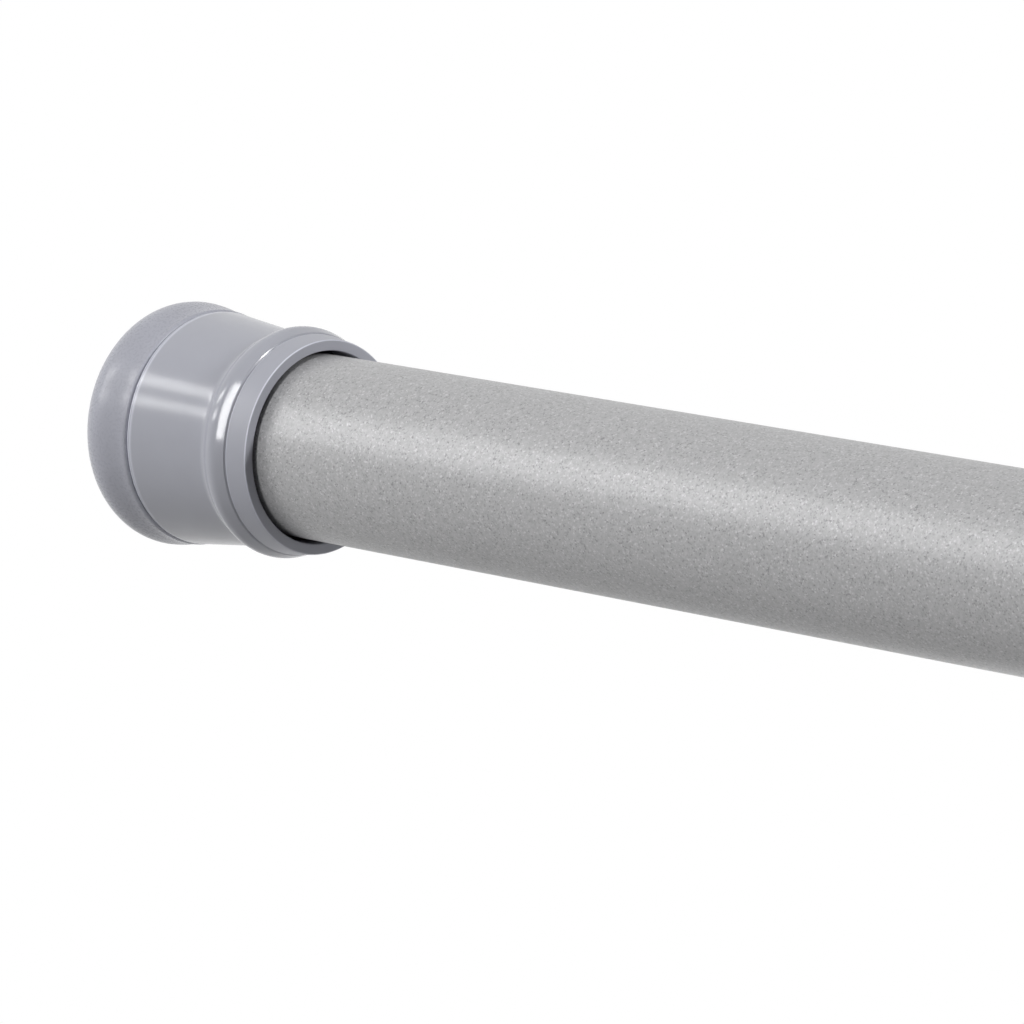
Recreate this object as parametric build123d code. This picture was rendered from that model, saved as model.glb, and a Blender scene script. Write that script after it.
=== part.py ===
from build123d import *
import os
from math import asin, degrees, radians, sin

# Millimetres. The rod lies along +X from wall face A at x = 0 to wall face B at x = set_length.
set_length = 1524.0
shortest_length = 1118.0
longest_length = 1829.0

# Fits, all radial: a piece that slides or turns, a piece that is held fast, a pin in its hole.
running_gap = 0.05
seat_gap = 0.04
pin_gap = 0.02

# Tubes
outer_tube_od = 25.4
outer_tube_wall = 0.6
inner_tube_wall = 0.6
tube_gap = 1.0

# End cap: heights are walls above the bore, and places are set back from the mouth.
cap_depth = 32.45
mouth_gap = 0.55
lip_wall = 1.5
lip_crown_wall = 1.95
lip_crown_back = 3.25
lip_rounding = 0.2
crease_wall = 1.8
crease_back = 3.5
flank_wall = 2.1
flank_back = 3.65
bead_wall = 3.0
bead_back = 5.9
bead_rounding = 2.4
cove_wall = 1.47
cove_back = 8.35
cove_rounding = 2.0
rim_wall = 3.0
cap_floor = 2.3
rib_count = 6
rib_width = 3.0
rib_back = 2.2
rib_lead = 1.5
flange_room = 0.2

# Wall pad
pad_depth = 10.2
pad_bulge = 0.72
pad_step = 0.15
pad_crest_x = 5.3
pad_shoulder = 5.5
parting_rounding = 0.5
pad_skin = 3.0
tread_depth = 0.8
tread_width = 1.1
tread_pitch = 2.4
tread_count = 3
button_neck = 4.8
button_boss = 6.5
button_head = 5.6
button_head_length = 2.2

# Collar in the outer tube's mouth
collar_length = 25.0
collar_lip = 3.0
collar_lip_wall = 0.5
collar_rounding = 0.8

# Plugs in the inner tube, held where the tube is rolled in round them
plug_flange = 3.0
plug_length = 22.0
roll_place = 12.0
roll_width = 2.4
roll_flank = 1.2
roll_depth = 0.8
roll_room = 0.1
anchor_length = 14.0
anchor_roll_place = 7.0
anchor_boss = 8.0
anchor_hole = 3.5

# Spindle, its clip and washer, and the spring
spindle_d = 6.0
flat_width = 4.6
spindle_head = 3.0
spindle_tip = 1.8
spindle_chamfer = 0.5
clip_thickness = 0.8
clip_wall = 2.4
clip_mouth = 3.6
clip_room = 0.2
groove_depth = 0.65
washer_thickness = 1.5
washer_rim_gap = 0.5
spring_stroke = 30.0
spring_length = 100.0
spring_wire = 2.0
spring_room = 1.5
spring_turns = 12
boss_room = 0.4

# Twist lock
core_offset = 0.8
journal_d = 14.0
journal_length = 26.0
core_flange_room = 1.5
core_flange = 3.0
hub_d = 12.0
hub_length = 8.0
core_pin_d = 2.5
core_pin_inset = 0.3
shoe_room = 0.75
shoe_end_play = 0.15
shoe_slit = 2.0
shoe_groove_count = 3
shoe_groove_width = 1.6
shoe_groove_depth = 0.5
lock_turn = 50.0
lug_width = 10.0
lug_inset = 1.2
lug_wall = 1.4
lug_length = 2.4
lug_room = 0.5
lock_washer_room = 1.7
lock_washer_thickness = 1.2
nut_across_flats = 10.0
nut_thickness = 5.0
nut_chamfer = 0.6
stroke_room = 1.5
wall_room = 11.0

# Worked out from the sizes above
outer_bore_r = outer_tube_od / 2 - outer_tube_wall
inner_tube_r = outer_bore_r - tube_gap
inner_bore_r = inner_tube_r - inner_tube_wall
cap_bore_r = outer_tube_od / 2 + mouth_gap
rim_r = cap_bore_r + rim_wall
tube_seat = pad_depth + cap_floor
button_reach = tube_seat + button_head_length
spindle_r = spindle_d / 2
groove_r = spindle_r - groove_depth
spring_mean_r = inner_bore_r - spring_room - spring_wire / 2
journal_r = journal_d / 2
lug_inner_r = journal_r + lug_inset
lug_outer_r = lug_inner_r + lug_wall

# The lock's stations, counted from the inner tube's inner end, negative towards wall A
flange_face = -plug_flange
hub_end = flange_face - spring_stroke - stroke_room
hub_start = hub_end - hub_length
journal_end = hub_start - core_flange
journal_start = journal_end - journal_length
nut_end = journal_start - lock_washer_thickness
nut_start = nut_end - nut_thickness
lock_tip = nut_start - spindle_tip
washer_start = plug_length
spring_start = washer_start + washer_thickness
spring_end = spring_start + spring_length

# Tube lengths that give the shortest length with room for the spring's stroke
collar_end = shortest_length - cap_depth - spring_stroke - running_gap
outer_tube_end = collar_end - collar_lip
outer_tube_length = outer_tube_end - tube_seat
shortest_inner_start = button_reach + wall_room - lock_tip
inner_tube_length = shortest_length - tube_seat - shortest_inner_start
inner_start = set_length - tube_seat - inner_tube_length


def turned(corners):
    # A corner is (x, radius from the axis) with an optional rounding.
    face = make_face(Polyline(*[corner[:2] for corner in corners], close=True))
    for corner in corners:
        if len(corner) == 3:
            place = Vertex(corner[0], corner[1], 0)
            face = fillet(face.vertices().sort_by_distance(place)[0], corner[2])
    return revolve(face, Axis.X)


def ring(x_low, x_high, r_low, r_high):
    return turned([(x_low, r_low), (x_high, r_low), (x_high, r_high), (x_low, r_high)])


def rod(x_low, x_high, radius):
    length = x_high - x_low
    return Pos(x_low + length / 2, 0, 0) * Rot(0, 90, 0) * Cylinder(radius, length)


def around(piece, count):
    return [Rot(360 / count * n, 0, 0) * piece for n in range(count)]


def sector(x_low, x_high, r_low, r_high, first_angle, last_angle):
    # Angles run about +X, counted from +Z, and the sector lies about the axis of the rod.
    face = make_face(Polyline((x_low, r_low), (x_high, r_low), (x_high, r_high), (x_low, r_high), close=True))
    swept = revolve(face, Axis.X, last_angle - first_angle)
    return Rot(90 + first_angle, 0, 0) * swept


def end_cap():
    bore = cap_bore_r
    mouth = cap_depth
    body = turned(
        [
            (pad_depth, button_neck + seat_gap),
            (pad_depth, rim_r, parting_rounding),
            (mouth - cove_back, bore + cove_wall, cove_rounding),
            (mouth - bead_back, bore + bead_wall, bead_rounding),
            (mouth - flank_back, bore + flank_wall),
            (mouth - crease_back, bore + crease_wall),
            (mouth - lip_crown_back, bore + lip_crown_wall, lip_rounding),
            (mouth, bore + lip_wall, lip_rounding),
            (mouth, bore, lip_rounding),
            (tube_seat, bore),
            (tube_seat, button_neck + seat_gap),
        ]
    )
    return body + around(grip_rib(), rib_count)


def grip_rib():
    # The ribs hold the tube clear of the bore, and their lead lets it in at the mouth.
    low = outer_tube_od / 2 + running_gap
    root = cap_bore_r + lip_wall / 2
    end = cap_depth - rib_back
    outline = Polyline((tube_seat, low), (end - rib_lead, low), (end, root), (tube_seat, root), close=True)
    return extrude(make_face(outline), rib_width / 2, both=True)


def wall_pad():
    crest_r = rim_r + pad_bulge
    back_r = rim_r + pad_step
    edge = parting_rounding
    hollow_r = rim_r - pad_skin
    shoulder = CenterArc(
        (pad_crest_x, crest_r - pad_shoulder), pad_shoulder, 90, degrees(asin(pad_crest_x / pad_shoulder))
    )
    crest = (pad_crest_x, crest_r)
    back = Spline(crest, (pad_depth - edge, back_r), tangents=[(1, 0), (1, 0)])
    lip = CenterArc((pad_depth - edge, back_r - edge), edge, 0, 90)
    inside = Polyline(
        (pad_depth, back_r - edge),
        (pad_depth, hollow_r),
        (pad_skin, hollow_r),
        (pad_skin, button_boss),
        (pad_depth, button_boss),
        (pad_depth, button_neck),
        (tube_seat, button_neck),
        (tube_seat, button_head),
        (button_reach, button_neck - 1),
        (button_reach, 0),
        (0, 0),
        shoulder @ 1,
    )
    body = revolve(make_face([shoulder, back, lip, inside]), Axis.X)
    for n in range(tread_count):
        tread_r = button_neck + tread_pitch * n
        body -= ring(-tread_depth, tread_depth, tread_r, tread_r + tread_width)
    return body


def at_wall_b(piece):
    return Pos(set_length, 0, 0) * Rot(0, 0, 180) * piece


def reducer_sleeve():
    # It brings the inner tube up to the size of the outer one, with a flange that closes the mouth gap.
    bore = inner_tube_r + running_gap
    outside = outer_tube_od / 2
    flange_start = cap_depth - rib_back + flange_room
    flange_end = cap_depth - lip_rounding
    return turned(
        [
            (tube_seat, bore),
            (tube_seat, outside),
            (flange_start, outside),
            (flange_start, cap_bore_r - seat_gap),
            (flange_end, cap_bore_r - seat_gap),
            (flange_end, bore),
        ]
    )


def outer_tube():
    return ring(tube_seat, outer_tube_end, outer_bore_r, outer_tube_od / 2)


def tube_collar():
    bore = inner_tube_r + running_gap
    lip_r = outer_tube_od / 2 + collar_lip_wall
    return turned(
        [
            (outer_tube_end - collar_length, bore),
            (outer_tube_end - collar_length, outer_bore_r - seat_gap),
            (outer_tube_end, outer_bore_r - seat_gap),
            (outer_tube_end, lip_r),
            (collar_end, lip_r, collar_rounding),
            (collar_end, bore),
        ]
    )


def roll_places():
    # The middle of each rolled groove: one round the guide plug, one round the spring's anchor.
    return [inner_start + roll_place, inner_start + spring_end + anchor_roll_place]


def roll_outline(x, radius, width, depth):
    # A groove's corners from low x to high x, in a wall that lies at the given radius.
    half = width / 2
    return [
        (x - half - roll_flank, radius),
        (x - half, radius - depth),
        (x + half, radius - depth),
        (x + half + roll_flank, radius),
    ]


def inner_tube():
    start = inner_start
    end = inner_start + inner_tube_length
    outside = [(start, inner_tube_r)]
    inside = [(start, inner_bore_r)]
    for x in roll_places():
        outside += roll_outline(x, inner_tube_r, roll_width, roll_depth)
        inside += roll_outline(x, inner_bore_r, roll_width, roll_depth)
    outside += [(end, inner_tube_r)]
    inside += [(end, inner_bore_r)]
    return turned(outside + inside[::-1])


def roll_groove(x):
    # Cut in a plug, it clears the tube's rolled ridge on all sides.
    half = roll_width / 2 + roll_flank + roll_room
    floor = inner_bore_r - roll_depth - roll_room
    return ring(x - half, x + half, floor, inner_bore_r + 1)


def guide_plug():
    body_r = inner_bore_r - seat_gap
    flange_r = outer_bore_r - running_gap
    start = inner_start + flange_face
    end = inner_start + plug_length
    clip_r = groove_r + clip_wall + clip_room
    body = rod(start, inner_start, flange_r) + rod(inner_start, end, body_r)
    body -= roll_groove(roll_places()[0])
    body -= flatted(start - 1, end + 1, running_gap)
    return body - rod(end - clip_thickness - seat_gap, end + 1, clip_r)


def flatted(x_low, x_high, gap):
    # A round rod with two flats, so that it slides in the plug but turns with it.
    middle = (x_low + x_high) / 2
    flats = Pos(middle, 0, 0) * Box(x_high - x_low, spindle_d + 1, flat_width + 2 * gap)
    return rod(x_low, x_high, spindle_r + gap) & flats


def spindle():
    tip = inner_start + lock_tip
    shoulder = inner_start + hub_end
    head = inner_start + spring_start + spindle_head
    groove_end = inner_start + washer_start
    body = rod(tip, shoulder, spindle_r)
    body = chamfer(body.edges().sort_by(Axis.X)[0], spindle_chamfer)
    body += flatted(shoulder, head, 0)
    body -= ring(groove_end - clip_thickness - seat_gap, groove_end, groove_r, spindle_d)
    return body - core_pin_hole()


def core_pin_place():
    return Pos(inner_start + hub_start + hub_length / 2, 0, 0)


def core_pin_hole():
    return core_pin_place() * Cylinder(core_pin_d / 2 + pin_gap, hub_d + 1)


def core_pin():
    return core_pin_place() * Cylinder(core_pin_d / 2, hub_d - 2 * core_pin_inset)


def retaining_clip():
    inner_r = groove_r + pin_gap
    end = inner_start + washer_start
    start = end - clip_thickness
    body = ring(start, end, inner_r, inner_r + clip_wall)
    mouth = Pos((start + end) / 2, 0, inner_r + clip_wall / 2) * Box(2, clip_mouth, 2 * clip_wall)
    return body - mouth


def stop_washer():
    start = inner_start + washer_start
    return ring(start, start + washer_thickness, spindle_r + seat_gap, inner_bore_r - washer_rim_gap)


def tension_spring():
    # The ends of the wire bear on the washer and on the anchor.
    height = spring_length - spring_wire
    path = Helix(height / spring_turns, height, spring_mean_r)
    wire = Plane(origin=path @ 0, z_dir=path % 0) * Circle(spring_wire / 2)
    coil = sweep(wire, path, is_frenet=True)
    return Pos(inner_start + spring_start + spring_wire / 2, 0, 0) * Rot(0, 90, 0) * coil


def spring_anchor():
    start = inner_start + spring_end
    end = start + anchor_length
    body_r = inner_bore_r - seat_gap
    boss_r = spring_mean_r - spring_wire / 2 - boss_room
    body = turned(
        [
            (start - anchor_boss, anchor_hole),
            (start - anchor_boss, boss_r, 1),
            (start, boss_r),
            (start, body_r),
            (end, body_r),
            (end, anchor_hole),
        ]
    )
    return body - roll_groove(roll_places()[1])


def lock_core():
    start = inner_start + journal_start
    flange = inner_start + journal_end
    hub = inner_start + hub_start
    end = inner_start + hub_end
    offset = Pos(0, 0, core_offset)
    body = offset * rod(start, flange, journal_r)
    body += rod(flange, hub, outer_bore_r - core_flange_room)
    body += rod(hub, end, hub_d / 2)
    body += offset * sector(flange - lug_length, flange, lug_inner_r, lug_outer_r, 0, lug_width)
    body -= rod(start - 1, end + 1, spindle_r + seat_gap)
    return body - core_pin_hole()


def lock_shoe():
    # The bore lies about the core's offset axis, so a turn of the core moves the shoe out to the tube.
    # The core's lug runs in the notch and stops the turn at both ends.
    start = inner_start + journal_start + shoe_end_play
    end = inner_start + journal_end - shoe_end_play
    outside = outer_bore_r - shoe_room
    body = rod(start, end, outside)
    pitch = (end - start) / (shoe_groove_count + 1)
    half = shoe_groove_width / 2
    for n in range(shoe_groove_count):
        x = start + pitch * (n + 1)
        body -= ring(x - half, x + half, outside - shoe_groove_depth, outside + 1)
    offset = Pos(0, 0, core_offset)
    body -= offset * rod(start - 1, end + 1, journal_r + running_gap)
    notch_start = inner_start + journal_end - lug_length - lug_room
    room = degrees(lug_room / lug_inner_r / 2)
    last = lug_width + lock_turn + room
    body -= offset * sector(notch_start, end + 1, journal_r, lug_outer_r + lug_room, -room, last)
    slit = Pos((start + end) / 2, 0, -outside) * Box(end - start + 2, shoe_slit, 2 * outside)
    return body - slit


def lock_washer():
    end = inner_start + journal_start
    return ring(end - lock_washer_thickness, end, spindle_r + seat_gap, outer_bore_r - lock_washer_room)


def lock_nut():
    start = inner_start + nut_start
    end = inner_start + nut_end
    hexagon = Plane.YZ * RegularPolygon(nut_across_flats / 2, 6, major_radius=False)
    body = Pos(start, 0, 0) * extrude(hexagon, end - start)
    corner_r = nut_across_flats / 2 / sin(radians(60))
    drum = chamfer(rod(start, end, corner_r).edges().filter_by(GeomType.CIRCLE), nut_chamfer)
    return (body & drum) - rod(start - 1, end + 1, spindle_r + seat_gap)


pieces = {
    "wall_pad_a": wall_pad(),
    "end_cap_a": end_cap(),
    "outer_tube": outer_tube(),
    "tube_collar": tube_collar(),
    "inner_tube": inner_tube(),
    "reducer_sleeve": at_wall_b(reducer_sleeve()),
    "end_cap_b": at_wall_b(end_cap()),
    "wall_pad_b": at_wall_b(wall_pad()),
    "guide_plug": guide_plug(),
    "spindle": spindle(),
    "retaining_clip": retaining_clip(),
    "stop_washer": stop_washer(),
    "tension_spring": tension_spring(),
    "spring_anchor": spring_anchor(),
    "lock_core": lock_core(),
    "core_pin": core_pin(),
    "lock_shoe": lock_shoe(),
    "lock_washer": lock_washer(),
    "lock_nut": lock_nut(),
}

os.makedirs("parts", exist_ok=True)
for name, piece in pieces.items():
    export_step(piece, f"parts/{name}.step")

print("telescope range", shortest_length - set_length, longest_length - set_length)
print("spring range", -spring_stroke, 0.0)
print("lock turn", lock_turn, "core axis z", core_offset)
print("outer tube end", outer_tube_end, "inner tube start", inner_start, "lock tip", inner_start + lock_tip)
print("spring seats", inner_start + spring_start, inner_start + spring_end)
print("tubes overlap at full length", outer_tube_end - inner_start - (longest_length - set_length))
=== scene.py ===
from math import cos, radians, sin

import bpy
import numpy as np
from mathutils import Matrix, Vector


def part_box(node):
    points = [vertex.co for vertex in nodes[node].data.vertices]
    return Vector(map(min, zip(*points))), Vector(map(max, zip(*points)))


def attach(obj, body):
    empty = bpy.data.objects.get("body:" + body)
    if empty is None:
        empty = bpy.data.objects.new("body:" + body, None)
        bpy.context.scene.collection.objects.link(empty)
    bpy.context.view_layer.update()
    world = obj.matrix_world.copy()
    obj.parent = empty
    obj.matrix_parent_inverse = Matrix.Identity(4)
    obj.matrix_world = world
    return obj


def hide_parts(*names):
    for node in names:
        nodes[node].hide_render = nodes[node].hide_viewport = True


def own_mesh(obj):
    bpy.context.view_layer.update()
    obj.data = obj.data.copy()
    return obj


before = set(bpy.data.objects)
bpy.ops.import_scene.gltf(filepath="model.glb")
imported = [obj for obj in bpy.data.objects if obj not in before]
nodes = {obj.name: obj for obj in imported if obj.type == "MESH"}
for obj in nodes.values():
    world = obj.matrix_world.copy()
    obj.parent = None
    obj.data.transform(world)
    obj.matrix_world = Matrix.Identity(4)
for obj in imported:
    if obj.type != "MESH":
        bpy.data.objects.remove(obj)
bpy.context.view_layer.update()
mm = 0.001
tiny = 1e-6
print("stage: frame loaded with", len(nodes), "nodes")

# Places along X and radii, in mm, that the new pieces take from the CAD pieces.
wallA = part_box("wall_pad_a")[0].x / mm
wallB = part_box("wall_pad_b")[1].x / mm
outerLow, outerHigh = (corner.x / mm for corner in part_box("outer_tube"))
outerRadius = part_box("outer_tube")[1].z / mm
innerLow, innerHigh = (corner.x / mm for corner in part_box("inner_tube"))
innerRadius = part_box("inner_tube")[1].z / mm
collarLow, collarHigh = (corner.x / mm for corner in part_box("tube_collar"))
washerFace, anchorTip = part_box("stop_washer")[1].x / mm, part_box("spring_anchor")[0].x / mm


# Turns a list of corners (x, radius, rounding, painted highlight) into rows of (x, radius, painted highlight).
# Each rounded corner becomes an arc that is tangent to both of its sides, with its centre on the line that
# halves the corner. The painted highlight of a rounded corner, a lighter colour that stands in for the edge's
# highlight, is greatest in the middle of its arc and nothing at the arc's two ends. A sharp corner keeps its own
# painted highlight.
def roundedOutline(corners, arcSteps=9, closed=True):
    rows = []
    count = len(corners)
    for n, corner in enumerate(corners):
        here = np.array(corner[:2], float)
        rounding = corner[2] if len(corner) > 2 else 0.0
        edgeLight = corner[3] if len(corner) > 3 else 0.0
        onEnd = not closed and n in (0, count - 1)
        if rounding <= 0 or onEnd:
            rows.append(np.array([[here[0], here[1], edgeLight]]))
            continue
        toLast = np.array(corners[n - 1][:2], float) - here
        toNext = np.array(corners[(n + 1) % count][:2], float) - here
        toLast /= np.linalg.norm(toLast)
        toNext /= np.linalg.norm(toNext)
        halfAngle = np.arccos(np.clip(toLast @ toNext, -1, 1)) / 2
        middle = (toLast + toNext) / np.linalg.norm(toLast + toNext)
        centre = here + middle * rounding / np.sin(halfAngle)
        first = here + toLast * rounding / np.tan(halfAngle) - centre
        last = here + toNext * rounding / np.tan(halfAngle) - centre
        sweep = np.arctan2(first[0] * last[1] - first[1] * last[0], first @ last)
        share = np.linspace(0, 1, arcSteps)[:, None]
        square = np.array([-first[1], first[0]])
        places = centre + first * np.cos(sweep * share) + square * np.sin(sweep * share)
        # The fourth column is painted highlight: lighter colour on the arc in place of the edge's highlight.
        rows.append(np.hstack([places, edgeLight * 4 * share * (1 - share)]))
    return np.concatenate(rows)


# Splits long straight runs of an outline so that no step is longer than the given length.
def finerOutline(rows, step, closed=True):
    after = np.roll(rows, -1, axis=0)
    runs = len(rows) if closed else len(rows) - 1
    pieces = []
    for here, there in zip(rows[:runs], after[:runs]):
        parts = max(1, int(np.ceil(np.linalg.norm((there - here)[:2]) / step)))
        share = np.arange(parts)[:, None] / parts
        pieces.append(here + (there - here) * share)
    if not closed:
        pieces.append(rows[-1:])
    return np.concatenate(pieces)


def meshPiece(name, points, faces, marks=None, sharpAngle=38.0):
    mesh = bpy.data.meshes.new(name)
    mesh.from_pydata(points.tolist(), [], faces)
    for mark, values in (marks or {}).items():
        mesh.attributes.new(mark, "FLOAT", "POINT").data.foreach_set("value", values.astype(np.float32))
    mesh.polygons.foreach_set("use_smooth", np.ones(len(mesh.polygons), bool))
    mesh.set_sharp_from_angle(angle=radians(sharpAngle))
    mesh.update()
    piece = bpy.data.objects.new(name, mesh)
    bpy.context.scene.collection.objects.link(piece)
    return piece


# Quads between rings of points that follow each other. A closed run also joins the last ring to the first.
def ringQuads(rings, sides, closed):
    i, j = np.meshgrid(np.arange(rings if closed else rings - 1), np.arange(sides), indexing="ij")
    nextI, nextJ = (i + 1) % rings, (j + 1) % sides
    quads = np.stack([i * sides + j, nextI * sides + j, nextI * sides + nextJ, i * sides + nextJ], axis=-1)
    return quads.reshape(-1, 4)


# Triangles from one point to the ring that starts at the point number base.
def fanFaces(pole, base, sides):
    j = np.arange(sides)
    return np.stack([np.full(sides, pole), base + j, base + (j + 1) % sides], axis=-1)


# A surface of revolution about X. Outline point (x, r) turned by the angle t lies at
# (x, r cos t, r sin t). An outline that starts and ends on the axis gets one point at each pole.
# inset(x, t) may lower the radius of the points in the mask, as ribs in a bore do. A given function of t scales
# the painted edge highlight round the piece. satin, one number a row, makes a part duller above 0 and glossier
# below 0.
def turnedPiece(name, outline, segments, inset=None, mask=None, highlightAround=None, satin=None):
    after = np.roll(outline, -1, axis=0)
    area = np.sum(outline[:, 0] * after[:, 1] - after[:, 0] * outline[:, 1]) / 2
    if area < 0:
        outline = outline[::-1]
        mask = None if mask is None else mask[::-1]
        satin = None if satin is None else satin[::-1]
    x, r = outline[:, 0], outline[:, 1]
    turn = np.arange(segments) * 2 * np.pi / segments
    # The edge attribute is painted highlight: it lightens the colour on edges in place of their highlights.
    marks = {"edgeHighlight": np.repeat(outline[:, 2:3], segments, axis=1)}
    if highlightAround is not None:
        marks["edgeHighlight"] = marks["edgeHighlight"] * highlightAround(turn)
    if satin is not None:
        marks["satin"] = np.repeat(satin[:, None], segments, axis=1)
    radius = np.repeat(r[:, None], segments, axis=1)
    if inset is not None:
        radius = np.where(mask[:, None], radius - inset(x[:, None], turn[None, :]), radius)
    along = np.repeat(x[:, None], segments, axis=1)
    grid = np.stack([along, radius * np.cos(turn), radius * np.sin(turn)], axis=-1) * mm
    poled = r[0] < tiny and r[-1] < tiny
    rings = len(x)
    if not poled:
        return meshPiece(name, grid.reshape(-1, 3), ringQuads(rings, segments, True).tolist(),
                         {mark: values.ravel() for mark, values in marks.items()})
    inner = grid[1:-1]
    rings = len(inner)
    points = np.concatenate([inner.reshape(-1, 3), grid[0, :1], grid[-1, :1]])
    firstPole, lastPole = rings * segments, rings * segments + 1
    startFan = fanFaces(firstPole, 0, segments)
    endFan = fanFaces(lastPole, (rings - 1) * segments, segments)[:, ::-1]
    faces = ringQuads(rings, segments, False).tolist() + startFan.tolist() + endFan.tolist()
    return meshPiece(name, points, faces,
                     {mark: np.append(values[1:-1].ravel(), [0.0, 0.0]) for mark, values in marks.items()})


# Puts an outline that was drawn from wall A onto the wall B end, as its mirror image.
def fromWall(outline, end):
    placed = outline.copy()
    placed[:, 0] = wallA + outline[:, 0] if end == "a" else wallB - outline[:, 0]
    return placed


def addNode(tree, kind, place, **settings):
    node = tree.nodes.new(kind)
    node.location = place
    for key, value in settings.items():
        setattr(node, key, value)
    return node


def join(tree, source, target):
    tree.links.new(source, target)


def groupSockets(tree, inputs, outputs):
    for name, kind, value in inputs:
        socket = tree.interface.new_socket(name, in_out="INPUT", socket_type=kind)
        socket.default_value = value
    for name, kind in outputs:
        tree.interface.new_socket(name, in_out="OUTPUT", socket_type=kind)
    return addNode(tree, "NodeGroupInput", (-1100, 0)), addNode(tree, "NodeGroupOutput", (700, 0))


def mathNode(tree, operation, place, first, second):
    node = addNode(tree, "ShaderNodeMath", place, operation=operation)
    for socket, value in zip(node.inputs, (first, second)):
        if isinstance(value, (int, float)):
            socket.default_value = value
        else:
            join(tree, value, socket)
    return node.outputs[0]


def rangeNode(tree, place, value, fromLow, fromHigh, toLow, toHigh):
    node = addNode(tree, "ShaderNodeMapRange", place)
    join(tree, value, node.inputs[0])
    for socket, number in zip(list(node.inputs)[1:5], (fromLow, fromHigh, toLow, toHigh)):
        if isinstance(number, (int, float)):
            socket.default_value = number
        else:
            join(tree, number, socket)
    return node.outputs[0]


def brighten(tree, place, colour, factor):
    scale = addNode(tree, "ShaderNodeVectorMath", place, operation="SCALE")
    join(tree, colour, scale.inputs[0])
    join(tree, factor, scale.inputs["Scale"])
    return scale.outputs[0]


# A noise texture's output mostly lies between these two, so they are spread over the whole range.
noiseLow, noiseHigh = 0.3, 0.7

mouldedForm = {"waveDetail": 2.0, "grainDetail": 3.0, "grainRelief": 0.25}


# Moulded plastic, also used for plain steel: a slow cloudiness in the colour, a fine grain in the gloss, and
# the shallow waviness of the skin. A painted highlight makes the colour lighter along edges, standing in for
# the highlights that the edges catch, and Satin makes the surface duller.
def mouldedSurfaceGroup():
    tree = bpy.data.node_groups.new("mouldedSurface", "ShaderNodeTree")
    given, made = groupSockets(
        tree,
        [("Colour", "NodeSocketColor", (0.4, 0.4, 0.43, 1)), ("Cloud", "NodeSocketFloat", 0.04),
         ("Gloss", "NodeSocketFloat", 0.3), ("Gloss grain", "NodeSocketFloat", 0.05),
         ("Grain size", "NodeSocketFloat", 0.0005), ("Wave size", "NodeSocketFloat", 0.004),
         ("Painted highlight", "NodeSocketFloat", 0.0), ("Highlight lift", "NodeSocketFloat", 0.4),
         ("Satin", "NodeSocketFloat", 0.0), ("Satin lift", "NodeSocketFloat", 0.2)],
        [("Colour", "NodeSocketColor"), ("Roughness", "NodeSocketFloat"), ("Height", "NodeSocketFloat")],
    )
    place = addNode(tree, "ShaderNodeTexCoord", (-1100, 300)).outputs["Object"]
    grainScale = mathNode(tree, "DIVIDE", (-900, -150), 1.0, given.outputs["Grain size"])
    waveScale = mathNode(tree, "DIVIDE", (-900, 150), 1.0, given.outputs["Wave size"])
    wave = addNode(tree, "ShaderNodeTexNoise", (-700, 200))
    wave.inputs["Detail"].default_value = mouldedForm["waveDetail"]
    join(tree, place, wave.inputs["Vector"])
    join(tree, waveScale, wave.inputs["Scale"])
    grain = addNode(tree, "ShaderNodeTexNoise", (-700, -150))
    grain.inputs["Detail"].default_value = mouldedForm["grainDetail"]
    join(tree, place, grain.inputs["Vector"])
    join(tree, grainScale, grain.inputs["Scale"])
    lowCloud = mathNode(tree, "SUBTRACT", (-450, 350), 1.0, given.outputs["Cloud"])
    highCloud = mathNode(tree, "ADD", (-450, 250), 1.0, given.outputs["Cloud"])
    factor = rangeNode(tree, (-250, 300), wave.outputs[0], noiseLow, noiseHigh, lowCloud, highCloud)
    # Painted highlight: the edge attribute times its lift makes the colour lighter along edges.
    highlightLift = mathNode(tree, "MULTIPLY", (-250, 500), given.outputs["Painted highlight"], given.outputs["Highlight lift"])
    factor = mathNode(tree, "ADD", (-100, 400), factor, highlightLift)
    join(tree, brighten(tree, (0, 250), given.outputs["Colour"], factor), made.inputs["Colour"])
    duller = mathNode(tree, "MULTIPLY", (-750, 0), given.outputs["Satin"], given.outputs["Satin lift"])
    gloss = mathNode(tree, "ADD", (-600, 0), given.outputs["Gloss"], duller)
    lowGloss = mathNode(tree, "SUBTRACT", (-450, 0), gloss, given.outputs["Gloss grain"])
    highGloss = mathNode(tree, "ADD", (-450, -100), gloss, given.outputs["Gloss grain"])
    rough = rangeNode(tree, (-250, 0), grain.outputs[0], noiseLow, noiseHigh, lowGloss, highGloss)
    join(tree, rough, made.inputs["Roughness"])
    small = mathNode(tree, "MULTIPLY", (-250, -250), grain.outputs[0], mouldedForm["grainRelief"])
    join(tree, mathNode(tree, "ADD", (0, -200), wave.outputs[0], small), made.inputs["Height"])
    return tree


# A flake's random number, 0 to 1, makes it lighter or darker by up to the spread. Past brightFrom it also
# shines out, and under darkBelow it turns dark.
flakeForm = {
    "spread": 0.35, "brightFrom": 0.88, "darkBelow": 0.14, "cloud": 0.3, "coatScale": 0.33, "coatDetail": 3.0,
    "tilt": 0.6,
}


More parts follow.
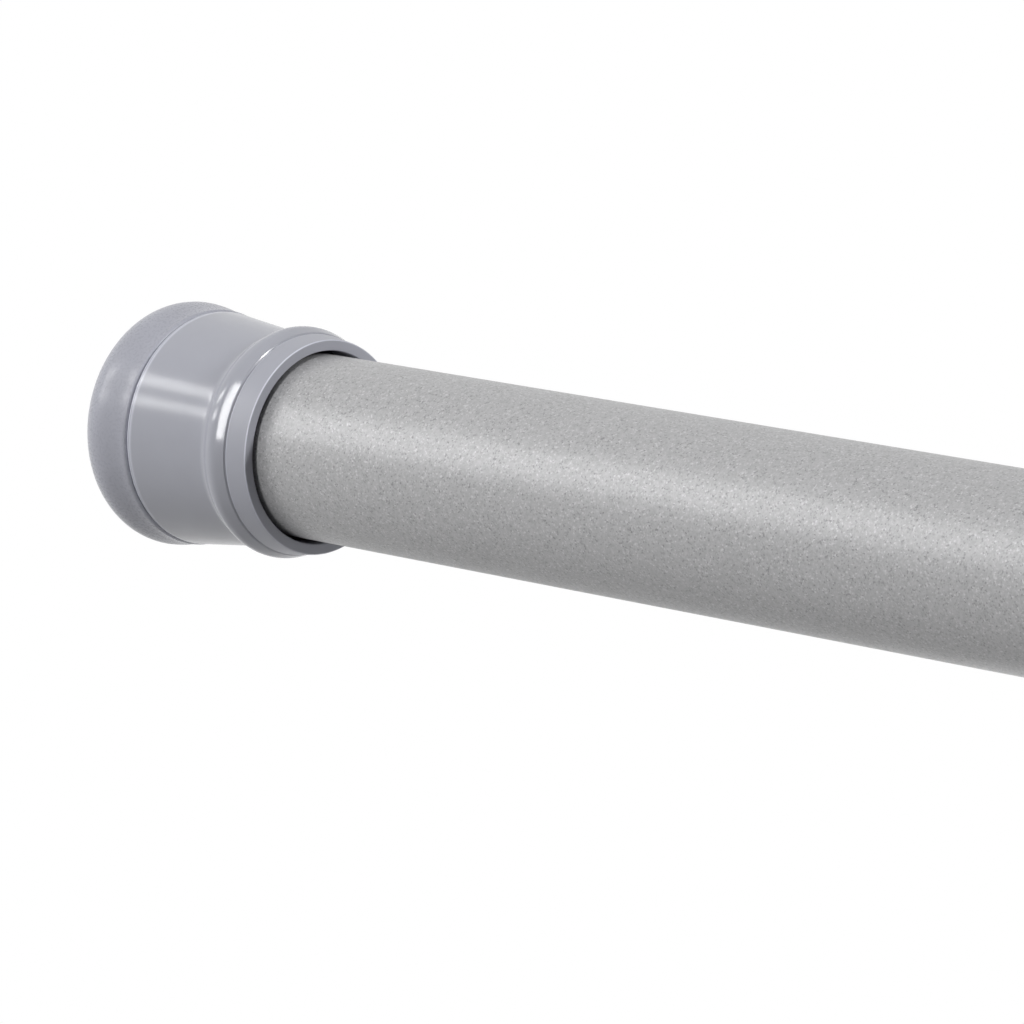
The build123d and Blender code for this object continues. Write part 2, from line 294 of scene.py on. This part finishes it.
# Metallic paint: cells of about a flake's width, each a little lighter or darker, tilted and glossier or
# duller than the next, over a slow unevenness of the coat.
def flakePaintGroup():
    tree = bpy.data.node_groups.new("flakePaint", "ShaderNodeTree")
    given, made = groupSockets(
        tree,
        [("Colour", "NodeSocketColor", (0.4, 0.4, 0.4, 1)), ("Flake size", "NodeSocketFloat", 0.0003),
         ("Sparkle", "NodeSocketFloat", 0.2), ("Gloss", "NodeSocketFloat", 0.4),
         ("Gloss spread", "NodeSocketFloat", 0.1)],
        [("Colour", "NodeSocketColor"), ("Roughness", "NodeSocketFloat"), ("Height", "NodeSocketFloat")],
    )
    place = addNode(tree, "ShaderNodeTexCoord", (-1100, 300)).outputs["Object"]
    flakeScale = mathNode(tree, "DIVIDE", (-900, 0), 1.0, given.outputs["Flake size"])
    flakes = addNode(tree, "ShaderNodeTexVoronoi", (-700, 200))
    join(tree, place, flakes.inputs["Vector"])
    join(tree, flakeScale, flakes.inputs["Scale"])
    split = addNode(tree, "ShaderNodeSeparateColor", (-500, 200))
    join(tree, flakes.outputs["Color"], split.inputs[0])
    coat = addNode(tree, "ShaderNodeTexNoise", (-700, -200))
    coat.inputs["Detail"].default_value = flakeForm["coatDetail"]
    join(tree, place, coat.inputs["Vector"])
    coatScale = mathNode(tree, "MULTIPLY", (-900, -200), flakeScale, flakeForm["coatScale"])
    join(tree, coatScale, coat.inputs["Scale"])
    spread = rangeNode(tree, (-450, 450), split.outputs[0], 0.0, 1.0, -flakeForm["spread"], flakeForm["spread"])
    bright = rangeNode(tree, (-450, 300), split.outputs[0], flakeForm["brightFrom"], 1.0, 0.0, 1.0)
    dark = rangeNode(tree, (-450, 150), split.outputs[0], flakeForm["darkBelow"], 0.0, 0.0, 1.0)
    cloud = rangeNode(tree, (-450, 0), coat.outputs[0], noiseLow, noiseHigh, -flakeForm["cloud"],
                      flakeForm["cloud"])
    mixed = mathNode(tree, "ADD", (-250, 400), spread, bright)
    mixed = mathNode(tree, "SUBTRACT", (-100, 350), mixed, dark)
    mixed = mathNode(tree, "ADD", (0, 250), mixed, cloud)
    amount = mathNode(tree, "MULTIPLY", (100, 350), mixed, given.outputs["Sparkle"])
    shade = mathNode(tree, "ADD", (150, 450), amount, 1.0)
    join(tree, brighten(tree, (200, 250), given.outputs["Colour"], shade), made.inputs["Colour"])
    lowGloss = mathNode(tree, "SUBTRACT", (-250, -50), given.outputs["Gloss"], given.outputs["Gloss spread"])
    highGloss = mathNode(tree, "ADD", (-250, -150), given.outputs["Gloss"], given.outputs["Gloss spread"])
    rough = rangeNode(tree, (0, -50), split.outputs[1], 0.0, 1.0, lowGloss, highGloss)
    join(tree, rough, made.inputs["Roughness"])
    tilt = mathNode(tree, "MULTIPLY", (-250, -300), split.outputs[2], flakeForm["tilt"])
    join(tree, mathNode(tree, "ADD", (0, -250), tilt, coat.outputs[0]), made.inputs["Height"])
    return tree


groups = {"moulded": mouldedSurfaceGroup(), "flake": flakePaintGroup()}


# A material whose colour, roughness and bump come from one group. The fixed numbers go straight to the
# shader's own sockets.
def finishMaterial(name, form):
    group, values, fixed, bump = form["group"], form["values"], form["fixed"], form["bump"]
    material = bpy.data.materials.new(name)
    material.use_nodes = True
    tree = material.node_tree
    shader = tree.nodes["Principled BSDF"]
    for socket, value in fixed.items():
        shader.inputs[socket].default_value = value
    surface = addNode(tree, "ShaderNodeGroup", (-600, 200), node_tree=groups[group])
    for socket, value in values.items():
        surface.inputs[socket].default_value = value
    if group == "moulded":
        # The edge attribute is painted highlight, a lighter colour on edges; satin only changes the roughness.
        edgeLight = addNode(tree, "ShaderNodeAttribute", (-850, 300), attribute_name="edgeHighlight")
        satin = addNode(tree, "ShaderNodeAttribute", (-850, 100), attribute_name="satin")
        join(tree, edgeLight.outputs["Fac"], surface.inputs["Painted highlight"])
        join(tree, satin.outputs["Fac"], surface.inputs["Satin"])
    join(tree, surface.outputs["Colour"], shader.inputs["Base Color"])
    join(tree, surface.outputs["Roughness"], shader.inputs["Roughness"])
    relief = addNode(tree, "ShaderNodeBump", (-300, -200))
    relief.inputs["Strength"].default_value = bump["strength"]
    relief.inputs["Distance"].default_value = bump["depth"]
    join(tree, surface.outputs["Height"], relief.inputs["Height"])
    join(tree, relief.outputs["Normal"], shader.inputs["Normal"])
    return material


# Colours are linear. Sizes and bump depths are in metres.
finishForms = {
    "padVinyl": {
        "group": "moulded",
        "values": {"Colour": (0.367, 0.373, 0.423, 1), "Cloud": 0.02, "Gloss": 0.28, "Gloss grain": 0.025,
                   "Grain size": 0.0004, "Wave size": 0.006},
        "fixed": {"IOR": 1.42},
        "bump": {"strength": 0.1, "depth": 0.00004},
    },
    "capPlastic": {
        "group": "moulded",
        "values": {"Colour": (0.375, 0.382, 0.43, 1), "Cloud": 0.015, "Gloss": 0.2, "Gloss grain": 0.03,
                   "Grain size": 0.0006, "Wave size": 0.005, "Highlight lift": 0.9, "Satin lift": 0.2},
        "fixed": {"IOR": 1.5},
        "bump": {"strength": 0.2, "depth": 0.00004},
    },
    "tubePaint": {
        "group": "flake",
        "values": {"Colour": (0.412, 0.411, 0.417, 1), "Flake size": 0.00022, "Sparkle": 0.25, "Gloss": 0.42,
                   "Gloss spread": 0.1},
        "fixed": {"Metallic": 0.15, "IOR": 1.5},
        "bump": {"strength": 0.5, "depth": 0.00003},
    },
    "collarPlastic": {
        "group": "moulded",
        "values": {"Colour": (0.37, 0.375, 0.40, 1), "Cloud": 0.02, "Gloss": 0.38, "Gloss grain": 0.06,
                   "Grain size": 0.0004, "Wave size": 0.005},
        "fixed": {"IOR": 1.48},
        "bump": {"strength": 0.25, "depth": 0.00004},
    },
    "lockPlastic": {
        "group": "moulded",
        "values": {"Colour": (0.72, 0.72, 0.68, 1), "Cloud": 0.03, "Gloss": 0.45, "Gloss grain": 0.06,
                   "Grain size": 0.0005, "Wave size": 0.006},
        "fixed": {"IOR": 1.5},
        "bump": {"strength": 0.3, "depth": 0.00005},
    },
    "shoePlastic": {
        "group": "moulded",
        "values": {"Colour": (0.045, 0.045, 0.05, 1), "Cloud": 0.06, "Gloss": 0.5, "Gloss grain": 0.08,
                   "Grain size": 0.0004, "Wave size": 0.005},
        "fixed": {"IOR": 1.48},
        "bump": {"strength": 0.35, "depth": 0.00005},
    },
    "plainSteel": {
        "group": "moulded",
        "values": {"Colour": (0.56, 0.56, 0.56, 1), "Cloud": 0.05, "Gloss": 0.34, "Gloss grain": 0.1,
                   "Grain size": 0.0003, "Wave size": 0.003},
        "fixed": {"Metallic": 1.0},
        "bump": {"strength": 0.2, "depth": 0.00003},
    },
}
finishes = {name: finishMaterial(name, form) for name, form in finishForms.items()}
print("stage: materials made", len(finishes))


def finishPiece(piece, body, nodeName, finish):
    piece.data.materials.append(finishes[finish])
    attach(piece, body)
    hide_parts(nodeName)


# Lengths are in mm. Places in the pad, the end cap and the reducer are measured from the wall face.
padForm = {
    "depth": 10.2, "rimRadius": 16.25, "bulge": 0.72, "step": 0.15, "crestPlace": 5.3, "shoulder": 5.5,
    "edge": 0.5, "skin": 3.0, "bossRadius": 6.5, "neckRadius": 4.8, "headRadius": 5.6, "headPlace": 12.5,
    "headLength": 2.2, "tipStep": 1.0, "tipRounding": 0.3, "headRounding": 0.15, "treadDepth": 0.8,
    "treadWidth": 1.1, "treadPitch": 2.4, "treadCount": 3, "treadRounding": 0.2, "edgeHighlight": 0.3,
    "edgeSteps": 8, "flankSteps": 20, "shoulderSteps": 30, "treadSteps": 5, "longestStep": 1.5, "segments": 224,
}


# The outline from the button's tip round the back edge and the crest to the middle of the wall face. The
# flank behind the crest is an S: a cubic with level ends.
def padOutline(form):
    crestRadius = form["rimRadius"] + form["bulge"]
    backRadius = form["rimRadius"] + form["step"]
    edge = form["edge"]
    hollow = form["rimRadius"] - form["skin"]
    headEnd = form["headPlace"] + form["headLength"]
    inside = roundedOutline(
        [(headEnd, 0.0), (headEnd, form["neckRadius"] - form["tipStep"], form["tipRounding"]),
         (form["headPlace"], form["headRadius"], form["headRounding"]),
         (form["headPlace"], form["neckRadius"]), (form["depth"], form["neckRadius"]),
         (form["depth"], form["bossRadius"]), (form["skin"], form["bossRadius"]), (form["skin"], hollow),
         (form["depth"], hollow)], closed=False)
    turn = np.linspace(0, np.pi / 2, form["edgeSteps"])
    # The back edge's arc carries painted highlight, strongest half way round the arc.
    lip = np.stack([form["depth"] - edge + edge * np.cos(turn), backRadius - edge + edge * np.sin(turn),
                    form["edgeHighlight"] * np.sin(2 * turn)], axis=1)
    share = np.linspace(0, 1, form["flankSteps"])[1:]
    flank = np.stack(
        [form["depth"] - edge + (form["crestPlace"] - form["depth"] + edge) * share,
         backRadius + (crestRadius - backRadius) * (3 * share**2 - 2 * share**3), 0 * share], axis=1)
    last = np.pi - np.arccos(form["crestPlace"] / form["shoulder"])
    turn = np.linspace(np.pi / 2, last, form["shoulderSteps"])[1:]
    shoulder = np.stack(
        [form["crestPlace"] + form["shoulder"] * np.cos(turn),
         crestRadius - form["shoulder"] + form["shoulder"] * np.sin(turn), 0 * turn], axis=1)
    corners = [tuple(shoulder[-1, :2])]
    for n in reversed(range(form["treadCount"])):
        low = form["neckRadius"] + form["treadPitch"] * n
        high = low + form["treadWidth"]
        groove = ((0, high), (form["treadDepth"], high), (form["treadDepth"], low), (0, low))
        corners += [(x, r, form["treadRounding"]) for x, r in groove]
    corners.append((0.0, 0.0))
    face = roundedOutline(corners, arcSteps=form["treadSteps"], closed=False)[1:]
    return np.concatenate([inside, lip, flank, shoulder, face])


def buildPad(end):
    outline = fromWall(finerOutline(padOutline(padForm), padForm["longestStep"], closed=False), end)
    pad = turnedPiece(f"padShell_{end}", outline, padForm["segments"])
    finishPiece(pad, f"cap_{end}", f"wall_pad_{end}", "padVinyl")


for end in "ab":
    buildPad(end)
print("stage: wall pads")

# Keys that end in Back are measured back from the mouth, and keys that end in Wall outwards from the bore. The
# painted edge highlights are shares of the full edge amount, and the side angle is where the painted highlight
# is strongest.
capForm = {
    "seat": 10.2, "floor": 12.5, "mouth": 32.45, "bore": 13.25, "holeRadius": 4.84,
    "rimWall": 3.0, "rimRounding": 0.5, "coveBack": 8.35, "coveWall": 1.47, "coveRounding": 2.0,
    "beadBack": 5.9, "beadWall": 3.0, "beadRounding": 2.4, "flankBack": 3.65, "flankWall": 2.1,
    "flankRounding": 0.08, "creaseBack": 3.5, "creaseWall": 1.8, "creaseRounding": 0.06, "crownBack": 3.25,
    "crownWall": 1.95, "lipWall": 1.5, "lipRounding": 0.2, "ribCount": 6, "ribHalfWidth": 1.5, "ribFlank": 0.3,
    "ribHeight": 0.5, "ribFull": 28.75, "ribEnd": 29.35, "beadPolish": 0.28, "edgeHighlight": 1.0,
    "barrelHighlight": 0.65, "barrelHighlightPlace": 0.7, "barrelHighlightEnd": 1.1, "crownHighlight": 0.55, "boreHighlight": 0.3,
    "highlightLeast": 0.4, "highlightSide": 138.0, "mouthBack": 0.5, "satinStart": 0.02, "arcSteps": 11,
    "longestStep": 1.0, "segments": 240,
}


# A point on the barrel's slope, so far in front of the seat, with its own painted highlight.
def onBarrel(form, ahead, edgeLight):
    slope = (form["rimWall"] - form["coveWall"]) / (form["mouth"] - form["coveBack"] - form["seat"])
    return form["seat"] + ahead, form["bore"] + form["rimWall"] - slope * ahead, 0.0, edgeLight


def capOutline(form):
    # Painted highlight: rim, barrel spot, crown, mouth and bore edges get a lighter colour in place of
    # highlights.
    bore, mouth, edgeLight = form["bore"], form["mouth"], form["edgeHighlight"]
    corners = [
        (form["seat"], form["holeRadius"]),
        (form["seat"], bore + form["rimWall"], form["rimRounding"], edgeLight),
        onBarrel(form, form["barrelHighlightPlace"], form["barrelHighlight"] * edgeLight),
        onBarrel(form, form["barrelHighlightEnd"], 0.0),
        (mouth - form["coveBack"], bore + form["coveWall"], form["coveRounding"]),
        (mouth - form["beadBack"], bore + form["beadWall"], form["beadRounding"]),
        (mouth - form["flankBack"], bore + form["flankWall"], form["flankRounding"]),
        (mouth - form["creaseBack"], bore + form["creaseWall"], form["creaseRounding"]),
        (mouth - form["crownBack"], bore + form["crownWall"], form["lipRounding"], form["crownHighlight"] * edgeLight),
        (mouth, bore + form["lipWall"], form["lipRounding"], edgeLight),
        (mouth, bore, form["lipRounding"], form["boreHighlight"] * edgeLight),
        (form["floor"], bore),
        (form["floor"], form["holeRadius"]),
    ]
    return finerOutline(roundedOutline(corners, arcSteps=form["arcSteps"]), form["longestStep"])


# Ribs that grip the tube: the height runs out over a short lead near the mouth, and across a rib it is
# a flat top with steep sides.
def ribInset(form, end):
    def inset(x, turn):
        fromEnd = x - wallA if end == "a" else wallB - x
        lead = np.clip((form["ribEnd"] - fromEnd) / (form["ribEnd"] - form["ribFull"]), 0, 1)
        pitch = 2 * np.pi / form["ribCount"]
        away = np.abs((turn + pitch / 2) % pitch - pitch / 2) * form["bore"]
        across = np.clip((form["ribHalfWidth"] + form["ribFlank"] / 2 - away) / form["ribFlank"], 0, 1)
        return form["ribHeight"] * lead * across
    return inset


# The painted edge highlight is strongest on one side of the cap. Round the cap it falls off as the square of a
# raised cosine.
def capHighlightAround(turn):
    least = capForm["highlightLeast"]
    return least + (1 - least) * (0.5 + 0.5 * np.cos(turn - radians(capForm["highlightSide"]))) ** 2


# The bore's rows carry the ribs, those in front of the crease are satin, and the bead's are polished. The
# bead starts half way between its crest and the cove.
def buildCap(end):
    outline = capOutline(capForm)
    place, radius = outline[:, 0], outline[:, 1]
    mouth = capForm["mouth"]
    inBore = (np.abs(radius - capForm["bore"]) < tiny) & (place < mouth - capForm["mouthBack"])
    onLip = place > mouth - capForm["creaseBack"] + capForm["satinStart"]
    onBead = ~onLip & (place > mouth - 0.5 * (capForm["beadBack"] + capForm["coveBack"]))
    satin = onLip - capForm["beadPolish"] * onBead
    cap = turnedPiece(f"capShell_{end}", fromWall(outline, end), capForm["segments"],
                      inset=ribInset(capForm, end), mask=inBore, highlightAround=capHighlightAround, satin=satin)
    finishPiece(cap, f"cap_{end}", f"end_cap_{end}", "capPlastic")


for end in "ab":
    buildCap(end)
print("stage: end caps")

# The rolls are grooves that hold the plugs, at places from the inner tube's inner end.
tubeForm = {
    "outerWall": 0.6, "innerWall": 0.6, "endRounding": 0.18, "rollPlaces": (12.0, 130.5), "rollWidth": 2.4,
    "rollFlank": 1.2, "rollDepth": 0.8, "rollRounding": 0.4, "arcSteps": 5, "longestStep": 60.0, "segments": 256,
}


def tubeOutline(low, high, radius, wall, rolls=()):
    form = tubeForm
    half, flank = form["rollWidth"] / 2, form["rollFlank"]
    outside, inside = [], []
    for place in rolls:
        for side, surface in ((outside, radius), (inside, radius - wall)):
            deep = surface - form["rollDepth"]
            groove = ((place - half - flank, surface), (place - half, deep),
                      (place + half, deep), (place + half + flank, surface))
            side += [(x, r, form["rollRounding"]) for x, r in groove]
    edge = form["endRounding"]
    corners = [(low, radius, edge)] + outside + [(high, radius, edge), (high, radius - wall, edge)]
    corners += inside[::-1] + [(low, radius - wall, edge)]
    return finerOutline(roundedOutline(corners, arcSteps=form["arcSteps"]), form["longestStep"])


outerTube = turnedPiece(
    "outerTubeSkin", tubeOutline(outerLow, outerHigh, outerRadius, tubeForm["outerWall"]), tubeForm["segments"])
finishPiece(outerTube, "outer_tube", "outer_tube", "tubePaint")

innerTube = turnedPiece(
    "innerTubeSkin",
    tubeOutline(innerLow, innerHigh, innerRadius, tubeForm["innerWall"],
                [innerLow + place for place in tubeForm["rollPlaces"]]),
    tubeForm["segments"])
finishPiece(innerTube, "inner_tube", "inner_tube", "tubePaint")
print("stage: tubes")

collarForm = {
    "lipWall": 0.5, "rounding": 0.8, "lipRounding": 0.15, "mouthRounding": 0.3, "tailRounding": 0.2,
    "boreGap": 0.05, "seatGap": 0.04, "arcSteps": 11, "longestStep": 2.0, "segments": 224,
}


def collarOutline(form):
    bore = innerRadius + form["boreGap"]
    seatRadius = outerRadius - tubeForm["outerWall"] - form["seatGap"]
    lipRadius = outerRadius + form["lipWall"]
    corners = [
        (collarLow, bore), (collarLow, seatRadius, form["tailRounding"]), (outerHigh, seatRadius),
        (outerHigh, lipRadius, form["lipRounding"]), (collarHigh, lipRadius, form["rounding"]),
        (collarHigh, bore, form["mouthRounding"]),
    ]
    return finerOutline(roundedOutline(corners, arcSteps=form["arcSteps"]), form["longestStep"])


collar = turnedPiece("collarRing", collarOutline(collarForm), collarForm["segments"])
finishPiece(collar, "outer_tube", "tube_collar", "collarPlastic")

reducerForm = {
    "flangeStart": 30.45, "flangeEnd": 32.25, "flangeRounding": 0.15, "mouthRounding": 0.25,
    "tailRounding": 0.2, "flangeGap": 0.04, "boreGap": 0.05, "arcSteps": 7, "longestStep": 2.0, "segments": 224,
}


def reducerOutline(form):
    bore = innerRadius + form["boreGap"]
    flangeRadius = capForm["bore"] - form["flangeGap"]
    corners = [
        (capForm["floor"], bore), (capForm["floor"], outerRadius, form["tailRounding"]),
        (form["flangeStart"], outerRadius), (form["flangeStart"], flangeRadius),
        (form["flangeEnd"], flangeRadius, form["flangeRounding"]),
        (form["flangeEnd"], bore, form["mouthRounding"]),
    ]
    return finerOutline(roundedOutline(corners, arcSteps=form["arcSteps"]), form["longestStep"])


reducer = turnedPiece("reducerRing", fromWall(reducerOutline(reducerForm), "b"), reducerForm["segments"])
finishPiece(reducer, "cap_b", "reducer_sleeve", "collarPlastic")
print("stage: collar and reducer")

# The anchor's nose stands inside the spring, which ends that far past the anchor's tip.
springForm = {
    "wire": 2.0, "meanRadius": 8.0, "turns": 12, "stepsPerTurn": 56, "sides": 20, "stroke": 30.0,
    "anchorNose": 8.0,
}
springLow, springHigh = washerFace, anchorTip + springForm["anchorNose"]


# A round wire carried along a helix about X. At the angle t the path is at radius R and advances by one
# pitch a turn; the section is drawn in the plane of the radius and the direction square to it and the path.
def buildSpring(form):
    low, high = springLow + form["wire"] / 2, springHigh - form["wire"] / 2
    count = form["turns"] * form["stepsPerTurn"] + 1
    share = np.linspace(0, 1, count)
    turn = 2 * np.pi * form["turns"] * share
    outward = np.stack([np.zeros(count), np.cos(turn), np.sin(turn)], axis=1)
    path = outward * form["meanRadius"]
    path[:, 0] = low + (high - low) * share
    along = np.stack([np.full(count, (high - low) / (2 * np.pi * form["turns"])),
                      -form["meanRadius"] * np.sin(turn), form["meanRadius"] * np.cos(turn)], axis=1)
    along /= np.linalg.norm(along, axis=1)[:, None]
    across = np.cross(along, outward)
    around = (np.arange(form["sides"]) * 2 * np.pi / form["sides"])[None, :, None]
    ring = outward[:, None] * np.cos(around) + across[:, None] * np.sin(around)
    grid = (path[:, None] + ring * form["wire"] / 2) * mm
    sides = form["sides"]
    quads = ringQuads(count, sides, False)[:, [0, 3, 2, 1]]
    points = np.concatenate([grid.reshape(-1, 3), path[:1] * mm, path[-1:] * mm])
    startCap = fanFaces(count * sides, 0, sides)[:, ::-1]
    endCap = fanFaces(count * sides + 1, (count - 1) * sides, sides)
    faces = quads.tolist() + startCap.tolist() + endCap.tolist()
    return meshPiece("springCoil", points, faces)


spring = buildSpring(springForm)
finishPiece(spring, "lock_spindle", "tension_spring", "plainSteel")
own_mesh(spring)
print("stage: spring")

lockFinishes = {
    "guide_plug": "lockPlastic", "spring_anchor": "lockPlastic", "lock_core": "lockPlastic",
    "lock_shoe": "shoePlastic", "spindle": "plainSteel", "retaining_clip": "plainSteel",
    "stop_washer": "plainSteel", "core_pin": "plainSteel", "lock_washer": "plainSteel", "lock_nut": "plainSteel",
}
for nodeName, finish in lockFinishes.items():
    nodes[nodeName].data.materials.clear()
    nodes[nodeName].data.materials.append(finishes[finish])
print("stage: lock finishes", len(lockFinishes))

# The stage and the lamps are in metres. The bounce is the grey of the floor for light that matt surfaces
# scatter. It falls from bounceNear at bounceStart to bounceFar at bounceEnd along X.
stageForm = {
    "floorHeight": -0.35, "floorHalf": 14.0, "floorCells": 8, "floorGrey": 1.0,
    "bounceNear": 0.4, "bounceFar": 0.02, "bounceStart": -0.12, "bounceEnd": 0.14,
    "shadowShare": 0.5, "shadowNear": 0.3, "shadowFar": 0.68, "rodHalf": 0.8, "rodMiddle": 0.76,
    "worldLeft": 0.44, "worldRight": 0.1,
}


# 1 for a ray from the camera, a reflection or a transmission, and 0 for light that a surface scatters.
def seenDirectly(tree, place):
    x, y = place
    path = addNode(tree, "ShaderNodeLightPath", place)
    seen = mathNode(tree, "MAXIMUM", (x + 250, y), path.outputs["Is Camera Ray"], path.outputs["Is Glossy Ray"])
    return mathNode(tree, "MAXIMUM", (x + 450, y), seen, path.outputs["Is Transmission Ray"])


# The floor is white to the eye and in reflections, and keeps part of its own shading near the rod, so
# that the rod's shadow stays. Further off it turns to plain white. From below it is clear.
def floorMaterial(form):
    material = bpy.data.materials.new("paleFloor")
    material.use_nodes = True
    tree = material.node_tree
    tree.nodes.clear()
    output = addNode(tree, "ShaderNodeOutputMaterial", (900, 0))
    matt = addNode(tree, "ShaderNodeBsdfDiffuse", (200, -100))
    glow = addNode(tree, "ShaderNodeEmission", (200, -250))
    clear = addNode(tree, "ShaderNodeBsdfTransparent", (450, -350))
    seen = seenDirectly(tree, (-600, 300))
    place = addNode(tree, "ShaderNodeTexCoord", (-1100, 0)).outputs["Object"]
    parts = addNode(tree, "ShaderNodeSeparateXYZ", (-950, 0))
    join(tree, place, parts.inputs[0])
    bounce = rangeNode(tree, (-250, -200), parts.outputs[0], form["bounceStart"], form["bounceEnd"],
                       form["bounceNear"], form["bounceFar"])
    join(tree, rangeNode(tree, (0, -100), seen, 0.0, 1.0, bounce, form["floorGrey"]), matt.inputs["Color"])
    beyond = mathNode(tree, "SUBTRACT", (-800, 100), parts.outputs[0], form["rodMiddle"])
    beyond = mathNode(tree, "ABSOLUTE", (-650, 100), beyond, 0.0)
    beyond = mathNode(tree, "SUBTRACT", (-500, 100), beyond, form["rodHalf"])
    beyond = mathNode(tree, "MAXIMUM", (-350, 100), beyond, 0.0)
    corner = addNode(tree, "ShaderNodeCombineXYZ", (-500, -50))
    join(tree, beyond, corner.inputs[0])
    join(tree, parts.outputs[1], corner.inputs[1])
    away = addNode(tree, "ShaderNodeVectorMath", (-450, 0), operation="LENGTH")
    join(tree, corner.outputs[0], away.inputs[0])
    white = rangeNode(tree, (-250, 0), away.outputs["Value"], form["shadowNear"], form["shadowFar"],
                      1.0 - form["shadowShare"], 1.0)
    share = mathNode(tree, "MULTIPLY", (50, 200), seen, white)
    mix = addNode(tree, "ShaderNodeMixShader", (450, 0))
    join(tree, share, mix.inputs[0])
    join(tree, matt.outputs[0], mix.inputs[1])
    join(tree, glow.outputs[0], mix.inputs[2])
    under = addNode(tree, "ShaderNodeMixShader", (700, 0))
    join(tree, addNode(tree, "ShaderNodeNewGeometry", (450, 250)).outputs["Backfacing"], under.inputs[0])
    join(tree, mix.outputs[0], under.inputs[1])
    join(tree, clear.outputs[0], under.inputs[2])
    join(tree, under.outputs[0], output.inputs["Surface"])
    return material


half, height, cells = stageForm["floorHalf"], stageForm["floorHeight"], stageForm["floorCells"]
side = np.linspace(-half, half, cells + 1)
floorX, floorY = np.meshgrid(side + stageForm["rodMiddle"], side, indexing="ij")
floorPoints = np.stack([floorX, floorY, np.full_like(floorX, height)], axis=-1).reshape(-1, 3)
i, j = np.meshgrid(np.arange(cells), np.arange(cells), indexing="ij")
corner, across = i * (cells + 1) + j, cells + 1
floorFaces = np.stack([corner, corner + across, corner + across + 1, corner + 1], axis=-1)
floor = meshPiece("floorSheet", floorPoints, floorFaces.reshape(-1, 4).tolist())
floor.data.materials.append(floorMaterial(stageForm))

# The world is white to the eye and in reflections. As light on a matt surface it fades from worldLeft on the
# -X side to worldRight on the +X side.
world = bpy.data.worlds.new("studio")
bpy.context.scene.world = world
world.use_nodes = True
worldTree = world.node_tree
background = worldTree.nodes["Background"]
worldSeen = seenDirectly(worldTree, (-900, 0))
worldSide = addNode(worldTree, "ShaderNodeSeparateXYZ", (-650, -200))
join(worldTree, addNode(worldTree, "ShaderNodeTexCoord", (-900, -200)).outputs["Object"], worldSide.inputs[0])
worldShade = rangeNode(worldTree, (-450, -200), worldSide.outputs[0], -1.0, 1.0, stageForm["worldLeft"],
                       stageForm["worldRight"])
worldStrength = rangeNode(worldTree, (-250, 0), worldSeen, 0.0, 1.0, worldShade, 1.0)
join(worldTree, worldStrength, background.inputs["Strength"])
background.inputs["Color"].default_value = (1, 1, 1, 1)

# Each lamp is a sheet of light along X, from low to high. Its angle, seen from the rod, starts at the level
# line on the viewer's side: past 90 degrees either way it is behind the rod, and below 0 it is under it. Its
# width is the angle that it fills. The camera doesn't see the lamps.
lampForm = {
    "high": {"angle": 47.0, "width": 9.5, "distance": 1.6, "radiance": 8.6, "low": -2.7, "high": -0.95},
    "low": {"angle": 27.5, "width": 9.0, "distance": 1.6, "radiance": 7.7, "low": -2.7, "high": -0.95},
    "core": {"angle": 31.0, "width": 50.0, "distance": 1.6, "radiance": 21.0, "low": -0.14, "high": 0.0},
    "mouth": {"angle": 120.0, "width": 9.0, "distance": 3.2, "radiance": 62.0, "low": 4.0, "high": 9.0},
    "rim": {"angle": -128.0, "width": 40.0, "distance": 0.3, "radiance": 0.95, "low": -0.08, "high": 1.9},
}


def buildLamp(name, form):
    angle = radians(form["angle"])
    across = 2 * form["distance"] * np.tan(radians(form["width"] / 2))
    length = form["high"] - form["low"]
    light = bpy.data.lights.new(name, "AREA")
    light.shape = "RECTANGLE"
    light.size, light.size_y = length, across
    light.energy = form["radiance"] * np.pi * length * across
    lamp = bpy.data.objects.new(name, light)
    lamp.visible_camera = False
    bpy.context.scene.collection.objects.link(lamp)
    toLamp = Vector((0, -cos(angle), sin(angle)))
    along = Vector((1, 0, 0))
    upward = toLamp.cross(along)
    turned = Matrix((along, upward, toLamp)).transposed()
    middle = Vector(((form["low"] + form["high"]) / 2, 0, 0)) + toLamp * form["distance"]
    lamp.matrix_world = Matrix.Translation(middle) @ turned.to_4x4()


for name, form in lampForm.items():
    buildLamp(f"{name}Lamp", form)

# The camera fitted to the photo. The target is in mm, and so is the offset: how far right, up and ahead of
# the camera the target lies. The lens and the sensor are in mm too, and nearest and farthest in metres.
cameraForm = {
    "turn": 44.66, "rise": 10.70, "lens": 231.21, "sensor": 36.0, "target": (32.3, 0.0, 0.0),
    "offset": (-25.679, 8.799, 894.632), "nearest": 0.05, "farthest": 60.0,
}


def buildCamera(form):
    turn, rise = radians(form["turn"]), radians(form["rise"])
    right = Vector((cos(turn), sin(turn), 0))
    forward = Vector((-sin(turn) * cos(rise), cos(turn) * cos(rise), -sin(rise)))
    upward = Vector((-sin(turn) * sin(rise), cos(turn) * sin(rise), cos(rise)))
    aside, above, ahead = form["offset"]
    eye = Vector(form["target"]) - (right * aside + upward * above + forward * ahead)
    data = bpy.data.cameras.new("photoView")
    data.lens = form["lens"]
    data.sensor_width = form["sensor"]
    data.clip_start, data.clip_end = form["nearest"], form["farthest"]
    camera = bpy.data.objects.new("photoView", data)
    bpy.context.scene.collection.objects.link(camera)
    camera.matrix_world = Matrix.Translation(eye * mm) @ Matrix((right, upward, -forward)).transposed().to_4x4()
    return camera


bpy.context.scene.camera = buildCamera(cameraForm)
bpy.context.scene.view_settings.view_transform = "Standard"
print("stage: floor, lamps and camera")
